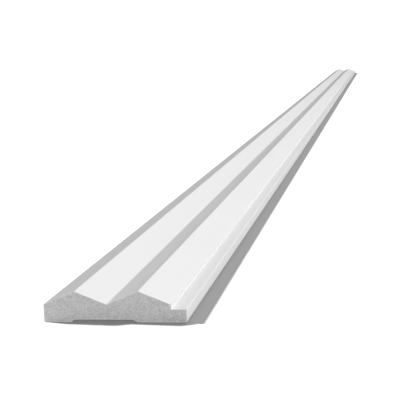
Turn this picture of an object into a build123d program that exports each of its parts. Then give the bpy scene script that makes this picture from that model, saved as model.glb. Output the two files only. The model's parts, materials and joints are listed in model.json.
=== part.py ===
from build123d import *
from math import atan2, cos
import os

# Wall panel end trim: one extruded foam strip that finishes the open edge of a ridged wall panel.
# Millimetres. X runs across the strip, from its finished edge to its lap tongue, Y runs along it,
# and Z runs out of its flat back. The origin is in the middle of the back.

# Driving dimensions of the ridged face
strip_length = 2700.0
ridge_pitch = 25.0  # from valley to valley
ridge_count = 2
crest_height = 12.0  # from the back to the top of a rounded crest
valley_height = 6.9  # from the back to a valley, to the finished edge and to the shoulder
crest_radius = 0.4
valley_radius = 0.5

# Driving dimensions of the tongue that the next panel laps over
tongue_width = 6.0
tongue_thickness = 5.0
shoulder_corner_radius = 0.25

# Driving dimensions of the glue relief in the back
relief_depth = 1.0
finished_land_width = 11.0  # flat of the back beside the finished edge
tongue_land_width = 18.2  # flat of the back on the tongue side
relief_chamfer_run = 0.9  # straight end of the relief, by the finished edge
relief_ogee_run = 3.3  # curved end of the relief, by the tongue

# Rounding of every other edge
edge_radius = 0.3

ridged_width = ridge_count * ridge_pitch
strip_width = ridged_width + tongue_width
finished_side = -strip_width / 2
tongue_side = strip_width / 2
shoulder = finished_side + ridged_width


def rounded(across, height, radius):
    """One corner of the section, with the radius that rounds it."""
    return (across, height), radius


def finished_back():
    """Corners of the back, from the relief's ceiling down its chamfer to the finished edge."""
    chamfer_foot = finished_side + finished_land_width
    return [
        rounded(chamfer_foot + relief_chamfer_run, relief_depth, edge_radius),
        rounded(chamfer_foot, 0, edge_radius),
        rounded(finished_side, 0, edge_radius),
    ]


def ridged_face():
    """Corners of the face, from the finished edge over each ridge to the shoulder."""
    half_pitch = ridge_pitch / 2
    slope = atan2(crest_height - valley_height, half_pitch)
    sharp_crest = crest_height + crest_radius * (1 / cos(slope) - 1)

    corners = [rounded(finished_side, valley_height, edge_radius)]
    for ridge in range(ridge_count):
        ridge_start = finished_side + ridge * ridge_pitch
        if ridge > 0:
            corners.append(rounded(ridge_start, valley_height, valley_radius))
        corners.append(rounded(ridge_start + half_pitch, sharp_crest, crest_radius))
    corners.append(rounded(shoulder, valley_height, edge_radius))
    return corners


def lap_tongue():
    """Corners of the tongue, from the foot of the shoulder round to the back."""
    return [
        rounded(shoulder, tongue_thickness, shoulder_corner_radius),
        rounded(tongue_side, tongue_thickness, edge_radius),
        rounded(tongue_side, 0, edge_radius),
    ]


def relief_ogee():
    """The curved end of the relief: two equal arcs, tangent to each other and to the flats they join."""
    foot = Vector(tongue_side - tongue_land_width, 0)
    top = foot + Vector(-relief_ogee_run, relief_depth)
    middle = (foot + top) / 2
    lower_arc = TangentArc(foot, middle, tangent=(-1, 0))
    upper_arc = TangentArc(middle, top, tangent=lower_arc % 1)
    return lower_arc, upper_arc


def end_trim():
    """The whole strip: its section, drawn across the length and extruded both ways."""
    lower_arc, upper_arc = relief_ogee()
    corners = finished_back() + ridged_face() + lap_tongue()
    points = [point for point, radius in corners]
    radii = [radius for point, radius in corners]
    outline = FilletPolyline(upper_arc @ 1, *points, lower_arc @ 0, radius=radii)
    section = Plane.XZ * make_face([*outline.edges(), lower_arc, upper_arc])
    return extrude(section, amount=strip_length / 2, both=True)


os.makedirs("parts", exist_ok=True)
export_step(end_trim(), "parts/end_trim.step")
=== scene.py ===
import json
import math

import bmesh
import bpy
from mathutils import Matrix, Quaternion, Vector
from mathutils.geometry import delaunay_2d_cdt


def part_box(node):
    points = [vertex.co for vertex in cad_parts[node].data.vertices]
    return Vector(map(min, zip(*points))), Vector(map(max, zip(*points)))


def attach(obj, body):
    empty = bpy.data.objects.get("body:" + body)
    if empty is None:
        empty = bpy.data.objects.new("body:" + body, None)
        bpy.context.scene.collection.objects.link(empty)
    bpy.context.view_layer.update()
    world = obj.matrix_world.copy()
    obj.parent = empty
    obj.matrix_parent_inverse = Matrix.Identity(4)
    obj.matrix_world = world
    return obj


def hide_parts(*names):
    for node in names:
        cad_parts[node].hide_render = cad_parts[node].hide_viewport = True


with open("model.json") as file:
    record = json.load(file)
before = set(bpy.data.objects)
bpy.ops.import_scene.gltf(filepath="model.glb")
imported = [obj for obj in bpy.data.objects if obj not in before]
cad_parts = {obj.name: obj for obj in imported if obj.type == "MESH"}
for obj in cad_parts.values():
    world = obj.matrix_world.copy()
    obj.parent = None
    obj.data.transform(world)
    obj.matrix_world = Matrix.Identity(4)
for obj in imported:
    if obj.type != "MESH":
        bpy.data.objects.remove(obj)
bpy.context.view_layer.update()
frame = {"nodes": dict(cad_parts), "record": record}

scene = bpy.context.scene
mm = 0.001
samePlace = 0.001 * mm  # points nearer than this are one
quarterTurn = math.pi / 2
stripLow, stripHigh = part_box("end_trim")
mountPlaces = {mount["name"]: mount["pos_m"] for mount in frame["record"]["mounts"]}
tongueTop = mountPlaces["lap_tongue_face"][2]
print("frame loaded, strip is", [round(side / mm, 1) for side in stripHigh - stripLow], "mm")


# A node's output. Arithmetic on it adds Math nodes, and node() adds any other kind to the same tree.
class Wire:
    def __init__(self, tree, socket=None):
        self.tree = tree
        self.socket = socket

    # A list of values is linked to one socket, one after the other.
    def node(self, kind, settings=None, sockets=None, out=0):
        made = self.tree.nodes.new(kind)
        for name, value in (settings or {}).items():
            setattr(made, name, value)
        for key, value in (sockets or {}).items():
            for single in value if isinstance(value, list) else [value]:
                self.plug(pick(made.inputs, key), single)
        return Wire(self.tree, pick(made.outputs, out)) if made.outputs else None

    def plug(self, target, value):
        if isinstance(value, Wire):
            self.tree.links.new(value.socket, target)
        else:
            target.default_value = value

    # Another output of the same node
    def also(self, out):
        return Wire(self.tree, pick(self.socket.node.outputs, out))

    def maths(self, operation, first, second=0.0):
        return self.node("ShaderNodeMath", {"operation": operation}, {0: first, 1: second})

    def __add__(self, other):
        return self.maths("ADD", self, other)

    def __radd__(self, other):
        return self.maths("ADD", other, self)

    def __sub__(self, other):
        return self.maths("SUBTRACT", self, other)

    def __rsub__(self, other):
        return self.maths("SUBTRACT", other, self)

    def __mul__(self, other):
        return self.maths("MULTIPLY", self, other)

    def __rmul__(self, other):
        return self.maths("MULTIPLY", other, self)

    # 0 at low, 1 at high, eased between them
    def eased(self, low, high):
        settings = {"interpolation_type": "SMOOTHSTEP"}
        return self.node("ShaderNodeMapRange", settings, {"Value": self, "From Min": low, "From Max": high})

    def blend(self, atZero, atOne):
        sockets = {"Factor_Float": self, "A_Color": atZero, "B_Color": atOne}
        return self.node("ShaderNodeMix", {"data_type": "RGBA"}, sockets, "Result_Color")

    def noise(self, scale, detail):
        return self.node("ShaderNodeTexNoise", None, {"Vector": self, "Scale": scale, "Detail": detail})

    def axis(self, letter):
        return self.node("ShaderNodeSeparateXYZ", None, {"Vector": self}, letter)

    def alongY(self, amount):
        return self.node("ShaderNodeCombineXYZ", None, {"Y": amount})


# A socket by its place, its identifier or its name
def pick(sockets, key):
    if isinstance(key, int):
        return sockets[key]
    for socket in sockets:
        if socket.identifier == key:
            return socket
    return sockets[key]


def grey(value):
    return (value, value, value, 1.0)


def newMaterial(name):
    material = bpy.data.materials.new(name)
    material.use_nodes = True
    material.node_tree.nodes.clear()
    return material, Wire(material.node_tree)


def finishMaterial(wire, colour, roughness, relief, look):
    sockets = {"Strength": 1.0, "Distance": look["bumpDepth"], "Height": relief}
    bump = wire.node("ShaderNodeBump", None, sockets)
    sockets = {
        "Base Color": colour,
        "Roughness": roughness,
        "Normal": bump,
        "Specular IOR Level": look["shine"],
    }
    surface = wire.node("ShaderNodeBsdfPrincipled", None, sockets)
    wire.node("ShaderNodeOutputMaterial", None, {"Surface": surface})


# White primer, sprayed on the extruded faces
primerLook = {
    "colour": 0.845,
    "mottle": 0.012,  # how much lighter and darker the blotches are
    "paintedShadeColour": 0.77,  # painted shade on rounded edges and on the shoulder, to dim their highlights
    "backColour": 0.80,  # the foam's own skin
    "roughness": 0.88,
    "blotchRoughness": 0.06,
    "backRoughness": 0.2,
    "burnish": 0.08,  # how much smoother the crests are
    "shine": 0.01,
    "edgeTurn": (0.365, 0.43),  # sideways times upward: 0.35 on a slope, 0.5 half way round an edge
    "shoulderTurn": (0.6, 0.9),  # sideways
    "shoulderHeight": (tongueTop, tongueTop + 0.4 * mm),
    "backTurn": (0.3, 0.8),  # downward
    "crestHeight": (stripHigh.z - 0.9 * mm, stripHigh.z - 0.1 * mm),
    "lineWidth": 1.2 * mm,
    "lineStretch": 0.004,  # width over length
    "lineShare": 0.6,  # of the relief, and the peel has the rest
    "peelSize": 0.8 * mm,
    "blotchSize": 60 * mm,
    "bumpDepth": 0.02 * mm,
}


def primerMaterial(look):
    material, wire = newMaterial("whitePrimer")
    place = wire.node("ShaderNodeTexCoord", out="Object")
    along = wire.node("ShaderNodeMapping", None, {"Vector": place, "Scale": (1, look["lineStretch"], 1)})
    lines = along.noise(1 / look["lineWidth"], detail=2.0)
    peel = place.noise(1 / look["peelSize"], detail=1.0)
    blotch = place.noise(1 / look["blotchSize"], detail=3.0)
    height = place.axis("Z")
    facing = wire.node("ShaderNodeNewGeometry", out="Normal")
    upward = facing.axis("Z")
    sideways = facing.axis("X")

    # Painted shade: the coat is darker on rounded edges and on the shoulder, which dims the highlights
    # there, and the spray misses the back.
    edge = (wire.maths("ABSOLUTE", sideways) * upward).eased(*look["edgeTurn"])
    shoulder = sideways.eased(*look["shoulderTurn"]) * height.eased(*look["shoulderHeight"])
    paintedShade = wire.maths("MAXIMUM", edge, shoulder)
    bare = (0 - upward).eased(*look["backTurn"])
    front = blotch.blend(grey(look["colour"] - look["mottle"]), grey(look["colour"] + look["mottle"]))
    coat = paintedShade.blend(front, grey(look["paintedShadeColour"]))
    colour = bare.blend(coat, grey(look["backColour"]))

    crest = height.eased(*look["crestHeight"])
    sprayed = look["roughness"] + look["blotchRoughness"] * blotch - look["burnish"] * crest
    roughness = sprayed + look["backRoughness"] * bare
    relief = look["lineShare"] * lines + (1 - look["lineShare"]) * peel
    finishMaterial(wire, colour, roughness, relief, look)
    return material


# Bare foam on the sawn ends
foamLook = {
    "dark": 0.51,  # the darkest cells
    "light": 0.73,  # the lightest
    "paintedPitShade": 0.80,  # painted shade: how much of its colour a cell keeps at its bottom
    "grainSize": 0.25 * mm,
    "grain": 0.10,  # share of the tone
    "roughness": 0.9,
    "shine": 0.1,
    "bumpDepth": 0.03 * mm,
}


def foamMaterial(look):
    material, wire = newMaterial("bareFoam")
    place = wire.node("ShaderNodeTexCoord", out="Object")
    tone = wire.node("ShaderNodeAttribute", {"attribute_name": "cellTone"}, out="Fac")
    depth = wire.node("ShaderNodeAttribute", {"attribute_name": "cellDepth"}, out="Fac")
    grain = place.noise(1 / look["grainSize"], detail=2.0)
    mixture = (1 - look["grain"]) * tone + look["grain"] * grain
    walls = mixture.blend(grey(look["dark"]), grey(look["light"]))
    # Painted shade: each cell is darker at its bottom than on its walls
    paintedShadePits = mixture.blend(grey(look["dark"] * look["paintedPitShade"]), grey(look["light"] * look["paintedPitShade"]))
    finishMaterial(wire, depth.blend(walls, paintedShadePits), look["roughness"], grain, look)
    return material


# Each point of a closed ring with the one after it
def neighbours(ring):
    return zip(ring, ring[1:] + ring[:1])


# Ring of corners round the near end of the CAD strip, in order, as (across, up)
def cutOutline(nodeName):
    solid = bmesh.new()
    solid.from_mesh(frame["nodes"][nodeName].data)
    bmesh.ops.remove_doubles(solid, verts=solid.verts, dist=samePlace)
    nearlySquare = 0.99
    endFaces = [face for face in solid.faces if face.normal.y < -nearlySquare]
    following = {}
    for face in endFaces:
        for loop in face.loops:
            if loop.link_loop_radial_next.face not in endFaces:
                following[loop.vert] = loop.link_loop_next.vert
    start = min(following, key=lambda vert: (vert.co.x, vert.co.z))
    ring = [start]
    while following[ring[-1]] is not start:
        ring.append(following[ring[-1]])
    outline = [Vector((vert.co.x, vert.co.z)) for vert in ring]
    solid.free()
    return outline


def divided(outline, spacing):
    points = []
    for here, ahead in neighbours(outline):
        steps = max(1, round((ahead - here).length / spacing))
        points += [here.lerp(ahead, step / steps) for step in range(steps)]
    return points


def inset(outline, depth):
    points = []
    for behind, (here, ahead) in zip(outline[-1:] + outline[:-1], neighbours(outline)):
        before = (here - behind).orthogonal().normalized()
        after = (ahead - here).orthogonal().normalized()
        points.append(here + (before + after) * depth / (1 + before.dot(after)))
    return points


# A closed curve of the section. A sweep along +Y turns the curve's own Y downwards,
# so up is drawn as minus Y.
def sectionCurve(name, outline):
    curve = bpy.data.curves.new(name, "CURVE")
    spline = curve.splines.new("POLY")
    spline.points.add(len(outline) - 1)
    for point, corner in zip(spline.points, reversed(outline)):
        point.co = (corner.x, -corner.y, 0, 1)
    spline.use_cyclic_u = True
    holder = bpy.data.objects.new(name, curve)
    scene.collection.objects.link(holder)
    holder.hide_render = True
    return holder


def newTree(name, inputs):
    tree = bpy.data.node_groups.new(name, "GeometryNodeTree")
    for label, kind in inputs.items():
        tree.interface.new_socket(label, in_out="INPUT", socket_type="NodeSocket" + kind)
    tree.interface.new_socket("Mesh", in_out="OUTPUT", socket_type="NodeSocketGeometry")
    wire = Wire(tree)
    return tree, wire, wire.node("NodeGroupInput")


# Runs a tree once and keeps what it makes as a plain mesh
def grown(name, tree, values, base=None):
    piece = bpy.data.objects.new(name, base or bpy.data.meshes.new(name))
    scene.collection.objects.link(piece)
    modifier = piece.modifiers.new("build", "NODES")
    modifier.node_group = tree
    for item in tree.interface.items_tree:
        if item.in_out == "INPUT" and item.name in values:
            modifier[item.identifier] = values[item.name]
    ready = bpy.context.evaluated_depsgraph_get()
    mesh = bpy.data.meshes.new_from_object(piece.evaluated_get(ready), depsgraph=ready)
    piece.modifiers.remove(modifier)
    piece.data = mesh
    mesh.name = name

    # Joined parts can leave an empty slot beside the material.
    coat = next(material for material in mesh.materials if material)
    mesh.materials.clear()
    mesh.materials.append(coat)
    mesh.polygons.foreach_set("material_index", [0] * len(mesh.polygons))
    print(name, "has", len(mesh.vertices), "points and", len(mesh.polygons), "faces")
    return piece


# Smooth faces with crisp edges where they meet at an angle, then the material
def finishTree(wire, mesh, material):
    crispAngle = math.radians(40)
    smooth = wire.node("GeometryNodeSetShadeSmooth", None, {"Geometry": mesh})
    angle = wire.node("GeometryNodeInputMeshEdgeAngle")
    bent = wire.node("FunctionNodeCompare", {"operation": "GREATER_THAN"}, {"A": angle, "B": crispAngle})
    edges = {"Geometry": smooth, "Selection": bent, "Shade Smooth": False}
    crisp = wire.node("GeometryNodeSetShadeSmooth", {"domain": "EDGE"}, edges)
    whole = wire.node("GeometryNodeRealizeInstances", None, {"Geometry": crisp})
    coated = wire.node("GeometryNodeSetMaterial", None, {"Geometry": whole, "Material": material})
    wire.node("NodeGroupOutput", None, {"Mesh": coated})


# The extruded strip in its skin of primer, which stands round each sawn end as a thin rim
stripSizes = {
    "Length": stripHigh.y - stripLow.y,
    "Skin Thickness": 0.15 * mm,
    "Skin Spacing": 0.5 * mm,  # between points round the section
    "Ring Spacing": 25 * mm,  # between sections along the strip
    "End Depth": 1.2 * mm,  # of the pocket for the bare foam
    "Line Depth": 0.006 * mm,
    "Line Pitch": 2.2 * mm,
    "Merge Gap": 0.01 * mm,  # points nearer than this are joined
}


def stripTree():
    inputs = {
        "Skin": "Object",
        "Core": "Object",
        "Length": "Float",
        "Ring Spacing": "Float",
        "End Depth": "Float",
        "Line Depth": "Float",
        "Line Pitch": "Float",
        "Merge Gap": "Float",
        "Primer": "Material",
    }
    tree, wire, given = newTree("extrudedStrip", inputs)
    skin = wire.node("GeometryNodeObjectInfo", None, {"Object": given.also("Skin")}, "Geometry")
    core = wire.node("GeometryNodeObjectInfo", None, {"Object": given.also("Core")}, "Geometry")
    nearEnd = given.also("Length") * -0.5
    farEnd = given.also("Length") * 0.5
    depth = given.also("End Depth")

    def sweep(section, start, end, spacing):
        sockets = {"Start": wire.alongY(start), "End": wire.alongY(end)}
        path = wire.node("GeometryNodeCurvePrimitiveLine", None, sockets)
        sockets = {"Curve": path, "Length": spacing}
        path = wire.node("GeometryNodeResampleCurve", {"mode": "LENGTH"}, sockets)
        path = wire.node("GeometryNodeSetCurveNormal", {"mode": "Z_UP"}, {"Curve": path})
        return wire.node("GeometryNodeCurveToMesh", None, {"Curve": path, "Profile Curve": section})

    def plate(sections, y):
        flat = wire.node("GeometryNodeJoinGeometry", None, {"Geometry": sections})
        filled = wire.node("GeometryNodeFillCurve", None, {"Curve": flat})
        sockets = {"Geometry": filled, "Rotation": (-quarterTurn, 0, 0), "Translation": wire.alongY(y)}
        return wire.node("GeometryNodeTransform", None, sockets)

    def flipped(mesh):
        return wire.node("GeometryNodeFlipFaces", None, {"Mesh": mesh})

    # Fine lines that the die leaves along the whole length, always into the surface
    outside = sweep(skin, nearEnd, farEnd, given.also("Ring Spacing"))
    sockets = {0: wire.node("GeometryNodeInputPosition"), 1: (1, 0, 1)}
    acrossOnly = wire.node("ShaderNodeVectorMath", {"operation": "MULTIPLY"}, sockets, "Vector")
    lines = acrossOnly.noise(wire.maths("DIVIDE", 1.0, given.also("Line Pitch")), detail=3.0)
    normal = wire.node("GeometryNodeInputNormal")
    sockets = {"Vector": normal, "Scale": lines * given.also("Line Depth") * -1.0}
    inward = wire.node("ShaderNodeVectorMath", {"operation": "SCALE"}, sockets, "Vector")
    outside = wire.node("GeometryNodeSetPosition", None, {"Geometry": outside, "Offset": inward})

    # Behind each rim lies a shallow pocket, which the sawn foam fills.
    parts = [
        outside,
        flipped(sweep(core, nearEnd, nearEnd + depth, depth)),
        flipped(sweep(core, farEnd - depth, farEnd, depth)),
        flipped(plate([skin, core], nearEnd)),
        flipped(plate([core], nearEnd + depth)),
        plate([skin, core], farEnd),
        plate([core], farEnd - depth),
    ]
    joined = wire.node("GeometryNodeJoinGeometry", None, {"Geometry": parts})
    sockets = {"Geometry": joined, "Distance": given.also("Merge Gap")}
    closed = wire.node("GeometryNodeMergeByDistance", None, sockets)
    finishTree(wire, closed, given.also("Primer"))
    return tree


# One sawn end: a thin plug of bare foam inside the rim, with its cells cut open
foamSizes = {
    "Thickness": 1.1 * mm,
    "Clearance": 0.01 * mm,  # to the rim
    "Net Spacing": 0.15 * mm,  # between points of the cut face
    "Cell Size": 0.45 * mm,
    "Cell Depth": 0.12 * mm,
    "Shallowest Cut": 0.25,  # of the cell depth
    "Wall Top": 0.02,  # where a cell begins to fall away from its wall, as a share of the cell
    "Wall Foot": 0.4,  # where it is at its deepest
    "Border": 0.25 * mm,  # along the rim, where the cells grow shallow
    "Merge Gap": 0.004 * mm,
}


# Flat net of small triangles inside the outline, facing -Y
def foamNet(outline, spacing):
    rise = spacing * math.sqrt(3) / 2
    lowest = min(corner.y for corner in outline)
    highest = max(corner.y for corner in outline)
    points = list(outline)
    for row in range(1, int((highest - lowest) / rise)):
        up = lowest + row * rise
        crossings = []
        for here, ahead in neighbours(outline):
            if (here.y > up) != (ahead.y > up):
                crossings.append(here.x + (ahead.x - here.x) * (up - here.y) / (ahead.y - here.y))
        crossings.sort()
        shift = spacing / 2 * (row % 2)
        for left, right in zip(crossings[::2], crossings[1::2]):
            first = math.ceil((left + spacing / 2 - shift) / spacing)
            last = math.floor((right - spacing / 2 - shift) / spacing)
            points += [Vector((step * spacing + shift, up)) for step in range(first, last + 1)]
    ring = list(neighbours(list(range(len(outline)))))
    insideOnly = 1
    filled = delaunay_2d_cdt(points, ring, [], insideOnly, samePlace)
    corners = filled[0]
    triangles = filled[2]
    net = bpy.data.meshes.new("foamNet")
    net.from_pydata([(corner.x, 0, corner.y) for corner in corners], [], triangles)
    return net


def foamTree():
    inputs = {
        "Net": "Geometry",
        "Place": "Float",
        "Inward": "Float",
        "Thickness": "Float",
        "Cell Size": "Float",
        "Cell Depth": "Float",
        "Shallowest Cut": "Float",
        "Wall Top": "Float",
        "Wall Foot": "Float",
        "Border": "Float",
        "Merge Gap": "Float",
        "Seed": "Float",
        "Foam": "Material",
    }
    tree, wire, given = newTree("sawnFoamEnd", inputs)
    net = given.also("Net")
    inward = given.also("Inward")

    def turned(mesh, quarters, shift):
        sockets = {"Geometry": mesh, "Rotation": (quarters * quarterTurn, 0, 0), "Translation": shift}
        return wire.node("GeometryNodeTransform", None, sockets)

    # Each cell has its own tone, and is cut to its own depth.
    sockets = {0: wire.node("GeometryNodeInputPosition"), 1: wire.alongY(given.also("Seed"))}
    seeded = wire.node("ShaderNodeVectorMath", {"operation": "ADD"}, sockets, "Vector")
    cells = {"Vector": seeded, "Scale": wire.maths("DIVIDE", 1.0, given.also("Cell Size"))}
    wall = wire.node("ShaderNodeTexVoronoi", {"feature": "DISTANCE_TO_EDGE"}, cells, "Distance")
    chance = wire.node("ShaderNodeTexVoronoi", {"feature": "F1"}, cells, "Color")
    cellTone = chance.axis("X")
    shallowest = given.also("Shallowest Cut")
    cellCut = shallowest + (1 - shallowest) * chance.axis("Y")

    # Cells end at the rim, so that the edge of the plug stays true.
    settings = {"data_type": "INT", "operation": "EQUAL"}
    sockets = {"A_INT": wire.node("GeometryNodeInputMeshEdgeNeighbors"), "B_INT": 1}
    onRim = wire.node("FunctionNodeCompare", settings, sockets)
    sockets = {"Geometry": net, "Selection": onRim}
    rim = wire.node("GeometryNodeSeparateGeometry", {"domain": "EDGE"}, sockets)
    away = wire.node("GeometryNodeProximity", {"target_element": "EDGES"}, {"Target": rim}, "Distance")
    fall = wall.eased(given.also("Wall Top"), given.also("Wall Foot"))
    hollow = fall * cellCut * away.eased(0.0, given.also("Border"))

    front = net
    for name, value in (("cellTone", cellTone), ("cellDepth", hollow)):
        sockets = {"Geometry": front, "Name": name, "Value": value}
        front = wire.node("GeometryNodeStoreNamedAttribute", None, sockets)
    sockets = {"Geometry": front, "Offset": wire.alongY(hollow * given.also("Cell Depth") * inward)}
    front = wire.node("GeometryNodeSetPosition", None, sockets)
    backward = wire.alongY(given.also("Thickness") * inward)
    sockets = {"Mesh": front, "Selection": onRim, "Offset": backward}
    walled = wire.node("GeometryNodeExtrudeMesh", {"mode": "EDGES"}, sockets)

    # The plug's back, which nobody sees, is filled from the rim alone.
    outline = wire.node("GeometryNodeMeshToCurve", None, {"Mesh": rim})
    filled = wire.node("GeometryNodeFillCurve", None, {"Curve": turned(outline, 1, (0, 0, 0))})
    back = turned(filled, -1, backward)
    joined = wire.node("GeometryNodeJoinGeometry", None, {"Geometry": [walled, back]})
    sockets = {"Geometry": joined, "Distance": given.also("Merge Gap")}
    closed = wire.node("GeometryNodeMergeByDistance", None, sockets)
    placed = turned(closed, 0, wire.alongY(given.also("Place")))
    mirrored = wire.node("FunctionNodeCompare", {"operation": "LESS_THAN"}, {"A": inward, "B": 0.0})
    outward = wire.node("GeometryNodeFlipFaces", None, {"Mesh": placed, "Selection": mirrored})
    finishTree(wire, outward, given.also("Foam"))
    return tree


primer = primerMaterial(primerLook)
foam = foamMaterial(foamLook)
print("materials made")

outline = divided(cutOutline("end_trim"), stripSizes["Skin Spacing"])
coreOutline = inset(outline, stripSizes["Skin Thickness"])
skinCurve = sectionCurve("skin", outline)
coreCurve = sectionCurve("core", coreOutline)
stripInputs = {**stripSizes, "Skin": skinCurve, "Core": coreCurve, "Primer": primer}
strip = grown("primedStrip", stripTree(), stripInputs)
for helper in (skinCurve, coreCurve):
    bpy.data.objects.remove(helper)
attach(strip, "root")
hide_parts("end_trim")

sawnEnds = {
    "cutEndNear": {"Place": stripLow.y, "Inward": 1.0, "Seed": 3.0},
    "cutEndFar": {"Place": stripHigh.y, "Inward": -1.0, "Seed": 7.0},
}
sawnTree = foamTree()
plugOutline = inset(coreOutline, foamSizes["Clearance"])
pieces = [strip]
for name, end in sawnEnds.items():
    net = foamNet(plugOutline, foamSizes["Net Spacing"])
    plug = grown(name, sawnTree, {**foamSizes, **end, "Foam": foam}, net)
    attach(plug, "root")
    pieces.append(plug)


# 1 for what the camera sees, also in a reflection or through glass, and 0 for light on matt surfaces
def directView(wire):
    path = wire.node("ShaderNodeLightPath")
    seen = path.also("Is Camera Ray") + path.also("Is Glossy Ray") + path.also("Is Transmission Ray")
    return wire.maths("MINIMUM", seen, 1.0)


# Soft light from all round, stronger from the tongue's side, in front of a white background
worldLook = {
    "ambient": 0.075,  # the same from every side
    "level": 0.285,  # of the light that leans
    "lean": 1.4,  # to the tongue's side
    "seen": 1.15,  # of the background
}


def makeWorld(look):
    world = bpy.data.worlds.new("studio")
    world.use_nodes = True
    world.node_tree.nodes.clear()
    wire = Wire(world.node_tree)
    across = wire.node("ShaderNodeTexCoord", out="Generated").axis("X")
    leaning = wire.maths("MAXIMUM", 1 + look["lean"] * across, 0.0)
    strength = look["ambient"] + look["level"] * leaning
    soft = wire.node("ShaderNodeBackground", None, {"Color": grey(1.0), "Strength": strength})
    white = wire.node("ShaderNodeBackground", None, {"Color": grey(1.0), "Strength": look["seen"]})
    mixed = wire.node("ShaderNodeMixShader", None, {0: directView(wire), 1: soft, 2: white})
    wire.node("ShaderNodeOutputWorld", None, {"Surface": mixed})
    scene.world = world


# A floor that its own suns make white to the eye
floorLook = {
    "size": 80.0,
    "gap": 0.05 * mm,  # below the strip
    "seen": 0.10,  # colour to the eye
    "glow": 0.17,  # keeps shadows from going black
    "bounce": 0.044,  # colour for the light that it throws back on the strip
}


def makeFloor(look):
    material, wire = newMaterial("paleFloor")
    seen = directView(wire)
    colour = seen.blend(grey(look["bounce"]), grey(look["seen"]))
    paint = wire.node("ShaderNodeBsdfDiffuse", None, {"Color": colour})
    glow = wire.node("ShaderNodeEmission", None, {"Strength": seen * look["glow"]})
    lit = wire.node("ShaderNodeAddShader", None, {0: paint, 1: glow})
    wire.node("ShaderNodeOutputMaterial", None, {"Surface": lit})
    half = look["size"] / 2
    corners = [(-half, -half, 0), (half, -half, 0), (half, half, 0), (-half, half, 0)]
    mesh = bpy.data.meshes.new("floor")
    mesh.from_pydata(corners, [], [(0, 1, 2, 3)])
    mesh.materials.append(material)
    floor = bpy.data.objects.new("floor", mesh)
    floor.location.z = stripLow.z - look["gap"]
    scene.collection.objects.link(floor)
    return floor


# Lights for the strip alone: a key across the ridges from the tongue's side and a fill on the near end,
# both nearer to that end, and a low one behind for the far end
lamps = {
    "key": {"place": (4.3, -2.0, 3.75), "aim": stripLow.y, "power": 196, "size": 2.0},
    "fill": {"place": (-0.8, -4.0, 0.9), "aim": stripLow.y, "power": 33.2, "size": 1.5},
    "back": {"place": (0.0, 4.2, 0.15), "aim": stripHigh.y, "power": 18, "size": 0.3},
}


def makeLamp(name, look, lit):
    data = bpy.data.lights.new(name, "AREA")
    data.energy = look["power"]
    data.size = look["size"]
    lamp = bpy.data.objects.new(name, data)
    lamp.location = look["place"]
    lamp.rotation_mode = "QUATERNION"
    lamp.rotation_quaternion = (lamp.location - Vector((0, look["aim"], 0))).to_track_quat("Z", "Y")
    lamp.visible_camera = False
    lamp.light_linking.receiver_collection = lit
    scene.collection.objects.link(lamp)


# Even light for the floor alone, so that it is white as far as it goes and keeps the strip's shadow:
# a sharp sun from the finished edge's side and a soft one from beyond the far end
floorSuns = {
    "sharpSun": {"from": (-1.43, 0.45, 1.0), "level": 15.3, "width": 5},
    "softSun": {"from": (0.0, 1.0, 0.5), "level": 3.1, "width": 30},
}


# A sun of level 1 lights a white face that is square to it to exactly 1.
def makeSun(name, look, lit):
    data = bpy.data.lights.new(name, "SUN")
    data.energy = look["level"] * math.pi
    data.angle = math.radians(look["width"])
    sun = bpy.data.objects.new(name, data)
    sun.rotation_mode = "QUATERNION"
    sun.rotation_quaternion = Vector(look["from"]).to_track_quat("Z", "Y")
    sun.light_linking.receiver_collection = lit
    scene.collection.objects.link(sun)


# Camera of the photograph, found from the corners of both ends of the strip
cameraView = {
    "place": (0.10201, -1.74195, 0.10462),
    "aim": (-0.19656, 0, -0.15341),
    "roll": -2.327,  # degrees
    "lens": 97.76,  # millimetres, and so is the sensor
    "sensor": 36,
    "nearest": 0.01,
    "farthest": 200,
}


def placeCamera(view):
    data = bpy.data.cameras.new("camera")
    data.lens = view["lens"]
    data.sensor_width = view["sensor"]
    data.clip_start = view["nearest"]
    data.clip_end = view["farthest"]
    camera = bpy.data.objects.new("camera", data)
    scene.collection.objects.link(camera)
    place = Vector(view["place"])
    level = (Vector(view["aim"]) - place).to_track_quat("-Z", "Y")
    camera.location = place
    camera.rotation_mode = "QUATERNION"
    camera.rotation_quaternion = level @ Quaternion((0, 0, 1), math.radians(view["roll"]))
    scene.camera = camera


# Objects that a light is kept to
def litGroup(name, members):
    group = bpy.data.collections.new(name)
    for member in members:
        group.objects.link(member)
    return group


makeWorld(worldLook)
floorOnly = litGroup("floorOnly", [makeFloor(floorLook)])
for name, look in floorSuns.items():
    makeSun(name, look, floorOnly)
stripOnly = litGroup("stripOnly", pieces)
for name, look in lamps.items():
    makeLamp(name, look, stripOnly)
placeCamera(cameraView)
scene.view_settings.view_transform = "Standard"
print("stage, light and camera set")
